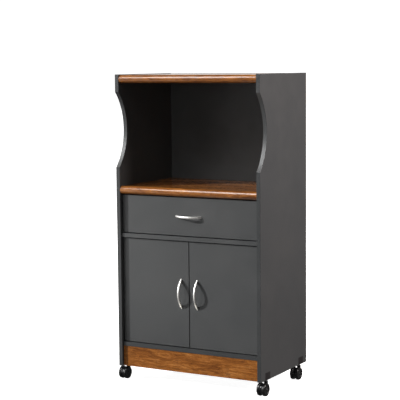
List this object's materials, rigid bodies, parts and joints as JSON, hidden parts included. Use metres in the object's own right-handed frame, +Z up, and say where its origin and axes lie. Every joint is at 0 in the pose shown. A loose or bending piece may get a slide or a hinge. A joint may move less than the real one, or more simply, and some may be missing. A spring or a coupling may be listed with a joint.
{
  "type": "microwave stand with drawer",
  "caption": "Rolling microwave stand with scooped side panels, an open oven bay, a drawer on roller runners and a cupboard, on swivel casters.",
  "frame": {"origin": "on the floor, under the middle of the whole outline, handles included", "axes": "+X to the right, -Y to the front, +Z up"},
  "size_m": [0.618, 0.3944, 1.149],
  "materials": {
    "charcoal_laminate": "charcoal grey melamine, satin, on chipboard",
    "oak_laminate": "warm oak wood-grain laminate, semi-gloss",
    "hardboard": "dark printed face, brown hardboard back",
    "drawer_board": "grey paper foil",
    "beech": "bare beech",
    "satin_nickel": "satin nickel plating",
    "nickel_plate": "bright nickel plate",
    "zinc_plate": "bright zinc plate",
    "die_cast_zinc": "dull die-cast zinc",
    "runner_enamel": "white epoxy enamel on steel",
    "nylon": "natural nylon",
    "dark_plastic": "brown-black moulded plastic",
    "socket_plastic": "black moulded plastic, fine texture",
    "black_plastic": "gloss black moulded plastic",
    "wheel_plastic": "black nylon, light sheen"
  },
  "bodies": {
    "cabinet": {"left_side_panel": "charcoal_laminate", "right_side_panel": "charcoal_laminate", "top_board": "oak_laminate", "microwave_shelf": "oak_laminate", "divider_shelf": "charcoal_laminate", "bottom_shelf": "charcoal_laminate", "kick_board": "oak_laminate", "rear_rail": "charcoal_laminate", "upper_back_panel": "hardboard", "lower_back_panel": "hardboard", "adjustable_shelf": "charcoal_laminate", "shelf_pins": "zinc_plate", "cam_locks": "die_cast_zinc", "cam_bolts": "zinc_plate", "wooden_dowels": "beech", "cabinet_runners": "runner_enamel", "cabinet_screws": "zinc_plate", "hinge_plates": "nickel_plate", "hinge_arms": "nickel_plate", "magnetic_catch": "dark_plastic", "caster_sockets": "socket_plastic"},
    "drawer": {"drawer_front": "charcoal_laminate", "drawer_inner_front": "drawer_board", "drawer_left_side": "drawer_board", "drawer_right_side": "drawer_board", "drawer_back": "drawer_board", "drawer_bottom": "hardboard", "drawer_runners": "runner_enamel", "drawer_handle": "satin_nickel", "drawer_screws": "zinc_plate"},
    "left_door": {"left_door": "charcoal_laminate", "left_hinge_cups": "nickel_plate", "left_door_handle": "satin_nickel", "left_strike_plate": "zinc_plate", "left_door_screws": "zinc_plate"},
    "right_door": {"right_door": "charcoal_laminate", "right_hinge_cups": "nickel_plate", "right_door_handle": "satin_nickel", "right_strike_plate": "zinc_plate", "right_door_screws": "zinc_plate"},
    "left_cabinet_roller": {"left_cabinet_roller": "nylon"},
    "left_drawer_roller": {"left_drawer_roller": "nylon"},
    "right_cabinet_roller": {"right_cabinet_roller": "nylon"},
    "right_drawer_roller": {"right_drawer_roller": "nylon"},
    "front_left_caster": {"front_left_caster_hood": "black_plastic", "front_left_caster_stem": "zinc_plate"},
    "front_left_caster_outer_wheel": {"front_left_caster_outer_wheel": "wheel_plastic"},
    "front_left_caster_inner_wheel": {"front_left_caster_inner_wheel": "wheel_plastic"},
    "front_right_caster": {"front_right_caster_hood": "black_plastic", "front_right_caster_stem": "zinc_plate"},
    "front_right_caster_outer_wheel": {"front_right_caster_outer_wheel": "wheel_plastic"},
    "front_right_caster_inner_wheel": {"front_right_caster_inner_wheel": "wheel_plastic"},
    "rear_left_caster": {"rear_left_caster_hood": "black_plastic", "rear_left_caster_stem": "zinc_plate"},
    "rear_left_caster_outer_wheel": {"rear_left_caster_outer_wheel": "wheel_plastic"},
    "rear_left_caster_inner_wheel": {"rear_left_caster_inner_wheel": "wheel_plastic"},
    "rear_right_caster": {"rear_right_caster_hood": "black_plastic", "rear_right_caster_stem": "zinc_plate"},
    "rear_right_caster_outer_wheel": {"rear_right_caster_outer_wheel": "wheel_plastic"},
    "rear_right_caster_inner_wheel": {"rear_right_caster_inner_wheel": "wheel_plastic"}
  },
  "joints": [
    {"name": "drawer_slide", "type": "slide", "parent": "cabinet", "child": "drawer", "axis": [0, -1, 0], "range_m": [0, 0.25]},
    {"name": "left_door_hinge", "type": "hinge", "parent": "cabinet", "child": "left_door", "pos_m": [-0.2675, -0.16325, 0.345], "axis": [0, 0, -1], "range_deg": [0, 95]},
    {"name": "right_door_hinge", "type": "hinge", "parent": "cabinet", "child": "right_door", "pos_m": [0.2675, -0.16325, 0.345], "axis": [0, 0, 1], "range_deg": [0, 95]},
    {"name": "left_cabinet_roller_spin", "type": "hinge", "parent": "cabinet", "child": "left_cabinet_roller", "pos_m": [-0.2798, -0.14175, 0.5802], "axis": [1, 0, 0], "range_deg": [0, 2000]},
    {"name": "left_drawer_roller_spin", "type": "hinge", "parent": "drawer", "child": "left_drawer_roller", "pos_m": [-0.2777, 0.16425, 0.5773], "axis": [1, 0, 0], "range_deg": [0, 2000]},
    {"name": "right_cabinet_roller_spin", "type": "hinge", "parent": "cabinet", "child": "right_cabinet_roller", "pos_m": [0.2798, -0.14175, 0.5802], "axis": [1, 0, 0], "range_deg": [0, 2000]},
    {"name": "right_drawer_roller_spin", "type": "hinge", "parent": "drawer", "child": "right_drawer_roller", "pos_m": [0.2777, 0.16425, 0.5773], "axis": [1, 0, 0], "range_deg": [0, 2000]},
    {"name": "front_left_caster_swivel", "type": "hinge", "parent": "cabinet", "child": "front_left_caster", "pos_m": [-0.2925, -0.13275, 0.054], "axis": [0, 0, 1], "continuous": true},
    {"name": "front_left_caster_outer_wheel_spin", "type": "hinge", "parent": "front_left_caster", "child": "front_left_caster_outer_wheel", "pos_m": [-0.3035, -0.15675, 0.0235], "axis": [1, 0, 0], "continuous": true},
    {"name": "front_left_caster_inner_wheel_spin", "type": "hinge", "parent": "front_left_caster", "child": "front_left_caster_inner_wheel", "pos_m": [-0.2815, -0.15675, 0.0235], "axis": [1, 0, 0], "continuous": true},
    {"name": "front_right_caster_swivel", "type": "hinge", "parent": "cabinet", "child": "front_right_caster", "pos_m": [0.2925, -0.13275, 0.054], "axis": [0, 0, 1], "continuous": true},
    {"name": "front_right_caster_outer_wheel_spin", "type": "hinge", "parent": "front_right_caster", "child": "front_right_caster_outer_wheel", "pos_m": [0.3035, -0.15675, 0.0235], "axis": [1, 0, 0], "continuous": true},
    {"name": "front_right_caster_inner_wheel_spin", "type": "hinge", "parent": "front_right_caster", "child": "front_right_caster_inner_wheel", "pos_m": [0.2815, -0.15675, 0.0235], "axis": [1, 0, 0], "continuous": true},
    {"name": "rear_left_caster_swivel", "type": "hinge", "parent": "cabinet", "child": "rear_left_caster", "pos_m": [-0.2925, 0.14425, 0.054], "axis": [0, 0, 1], "continuous": true},
    {"name": "rear_left_caster_outer_wheel_spin", "type": "hinge", "parent": "rear_left_caster", "child": "rear_left_caster_outer_wheel", "pos_m": [-0.3035, 0.12025, 0.0235], "axis": [1, 0, 0], "continuous": true},
    {"name": "rear_left_caster_inner_wheel_spin", "type": "hinge", "parent": "rear_left_caster", "child": "rear_left_caster_inner_wheel", "pos_m": [-0.2815, 0.12025, 0.0235], "axis": [1, 0, 0], "continuous": true},
    {"name": "rear_right_caster_swivel", "type": "hinge", "parent": "cabinet", "child": "rear_right_caster", "pos_m": [0.2925, 0.14425, 0.054], "axis": [0, 0, 1], "continuous": true},
    {"name": "rear_right_caster_outer_wheel_spin", "type": "hinge", "parent": "rear_right_caster", "child": "rear_right_caster_outer_wheel", "pos_m": [0.3035, 0.12025, 0.0235], "axis": [1, 0, 0], "continuous": true},
    {"name": "rear_right_caster_inner_wheel_spin", "type": "hinge", "parent": "rear_right_caster", "child": "rear_right_caster_inner_wheel", "pos_m": [0.2815, 0.12025, 0.0235], "axis": [1, 0, 0], "continuous": true}
  ],
  "couplings": [
    {"joint": "left_cabinet_roller_spin", "follows": "drawer_slide", "rad_per_m": 125},
    {"joint": "left_drawer_roller_spin", "follows": "drawer_slide", "rad_per_m": 100},
    {"joint": "right_cabinet_roller_spin", "follows": "drawer_slide", "rad_per_m": 125},
    {"joint": "right_drawer_roller_spin", "follows": "drawer_slide", "rad_per_m": 100}
  ]
}
